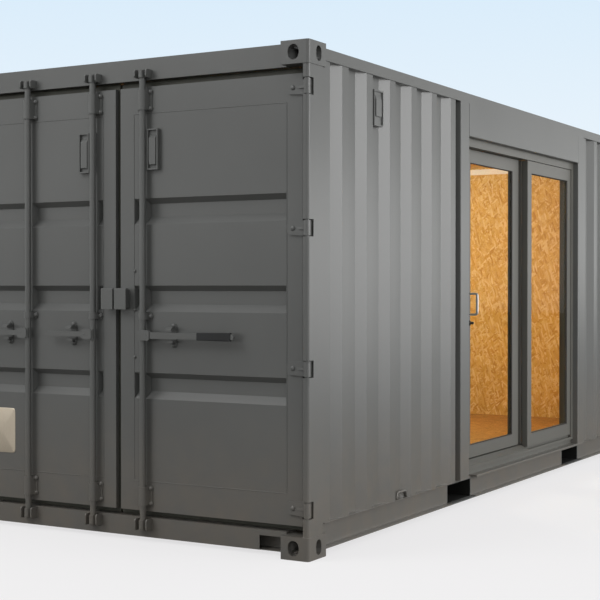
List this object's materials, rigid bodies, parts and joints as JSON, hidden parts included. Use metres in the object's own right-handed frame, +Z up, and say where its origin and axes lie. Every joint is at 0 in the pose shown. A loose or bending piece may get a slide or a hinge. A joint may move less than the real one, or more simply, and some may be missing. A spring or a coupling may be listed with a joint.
{
  "type": "shipping container cabin",
  "caption": "Corrugated steel shipping container made into a lined cabin, with cargo doors at one end and a glazed sliding door in one long side.",
  "frame": {"origin": "middle of the footprint, on the ground under the corner castings", "axes": "+X along the length, away from the cargo doors; -Y the side with the sliding door; +Z up"},
  "size_m": [6.058, 2.438, 2.591],
  "materials": {
    "container_paint": "satin grey paint",
    "door_seal_rubber": "matte",
    "wall_board": "raw strand board",
    "floor_board": "sealed board",
    "white_trim": "matte white paint",
    "dark_aluminium": "dark powder coat",
    "clear_glass": "clear",
    "chrome_handle": "polished",
    "grip_rubber": "matte"
  },
  "bodies": {
    "container": {"corner_castings": "container_paint", "door_end_corner_posts": "container_paint", "blind_end_corner_posts": "container_paint", "door_header": "container_paint", "door_sill": "container_paint", "blind_end_rails": "container_paint", "top_side_rails": "container_paint", "bottom_side_rails": "container_paint", "fork_pocket_webs": "container_paint", "fork_pocket_plates": "container_paint", "fork_pocket_aprons": "container_paint", "floor_cross_members": "container_paint", "roof_panel": "container_paint", "patio_side_walls": "container_paint", "rear_wall": "container_paint", "blind_end_wall": "container_paint", "floor_deck": "floor_board", "side_wall_linings": "wall_board", "end_wall_lining": "wall_board", "ceiling_lining": "wall_board", "doorway_linings": "wall_board", "end_wall_trim": "white_trim", "doorway_posts": "container_paint", "doorway_lintel": "container_paint", "doorway_sill": "container_paint", "sliding_frame_jambs": "dark_aluminium", "sliding_frame_tracks": "dark_aluminium", "fixed_leaf_frame": "dark_aluminium", "fixed_leaf_glass": "clear_glass", "cam_keepers": "container_paint", "wall_vent": "container_paint"},
    "right_cargo_door": {"right_door_frame": "container_paint", "right_door_panel": "container_paint", "right_door_gasket": "door_seal_rubber", "right_door_hinges": "container_paint", "right_rod_brackets": "container_paint", "right_door_vent": "container_paint", "right_lock_box": "container_paint"},
    "left_cargo_door": {"left_door_frame": "container_paint", "left_door_panel": "container_paint", "left_door_gasket": "door_seal_rubber", "left_door_hinges": "container_paint", "left_rod_brackets": "container_paint", "left_door_vent": "container_paint", "left_lock_box": "container_paint"},
    "right_lock_gear": {"right_lock_rod": "container_paint", "right_handle": "container_paint", "right_handle_grip": "grip_rubber"},
    "left_inner_lock_gear": {"left_inner_lock_rod": "container_paint", "left_inner_handle": "container_paint"},
    "left_outer_lock_gear": {"left_outer_lock_rod": "container_paint", "left_outer_handle": "container_paint"},
    "sliding_leaf": {"sliding_leaf_frame": "dark_aluminium", "sliding_leaf_glass": "clear_glass", "sliding_leaf_handle": "chrome_handle"}
  },
  "joints": [
    {"name": "right_door_hinge", "type": "hinge", "parent": "container", "child": "right_cargo_door", "pos_m": [-3.007, -1.197, 1.3], "axis": [0, 0, 1], "range_deg": [0, 255]},
    {"name": "left_door_hinge", "type": "hinge", "parent": "container", "child": "left_cargo_door", "pos_m": [-3.007, 1.197, 1.3], "axis": [0, 0, -1], "range_deg": [0, 255]},
    {"name": "right_lock_rod_turn", "type": "hinge", "parent": "right_cargo_door", "child": "right_lock_gear", "pos_m": [-2.999, -0.183, 1.1], "axis": [0, 0, 1], "range_deg": [-110, 0]},
    {"name": "left_inner_lock_rod_turn", "type": "hinge", "parent": "left_cargo_door", "child": "left_inner_lock_gear", "pos_m": [-2.999, 0.153, 1.1], "axis": [0, 0, -1], "range_deg": [-110, 0]},
    {"name": "left_outer_lock_rod_turn", "type": "hinge", "parent": "left_cargo_door", "child": "left_outer_lock_gear", "pos_m": [-2.999, 0.614, 1.1], "axis": [0, 0, -1], "range_deg": [-110, 0]},
    {"name": "sliding_leaf_slide", "type": "slide", "parent": "container", "child": "sliding_leaf", "axis": [1, 0, 0], "range_m": [0, 0.87]}
  ]
}
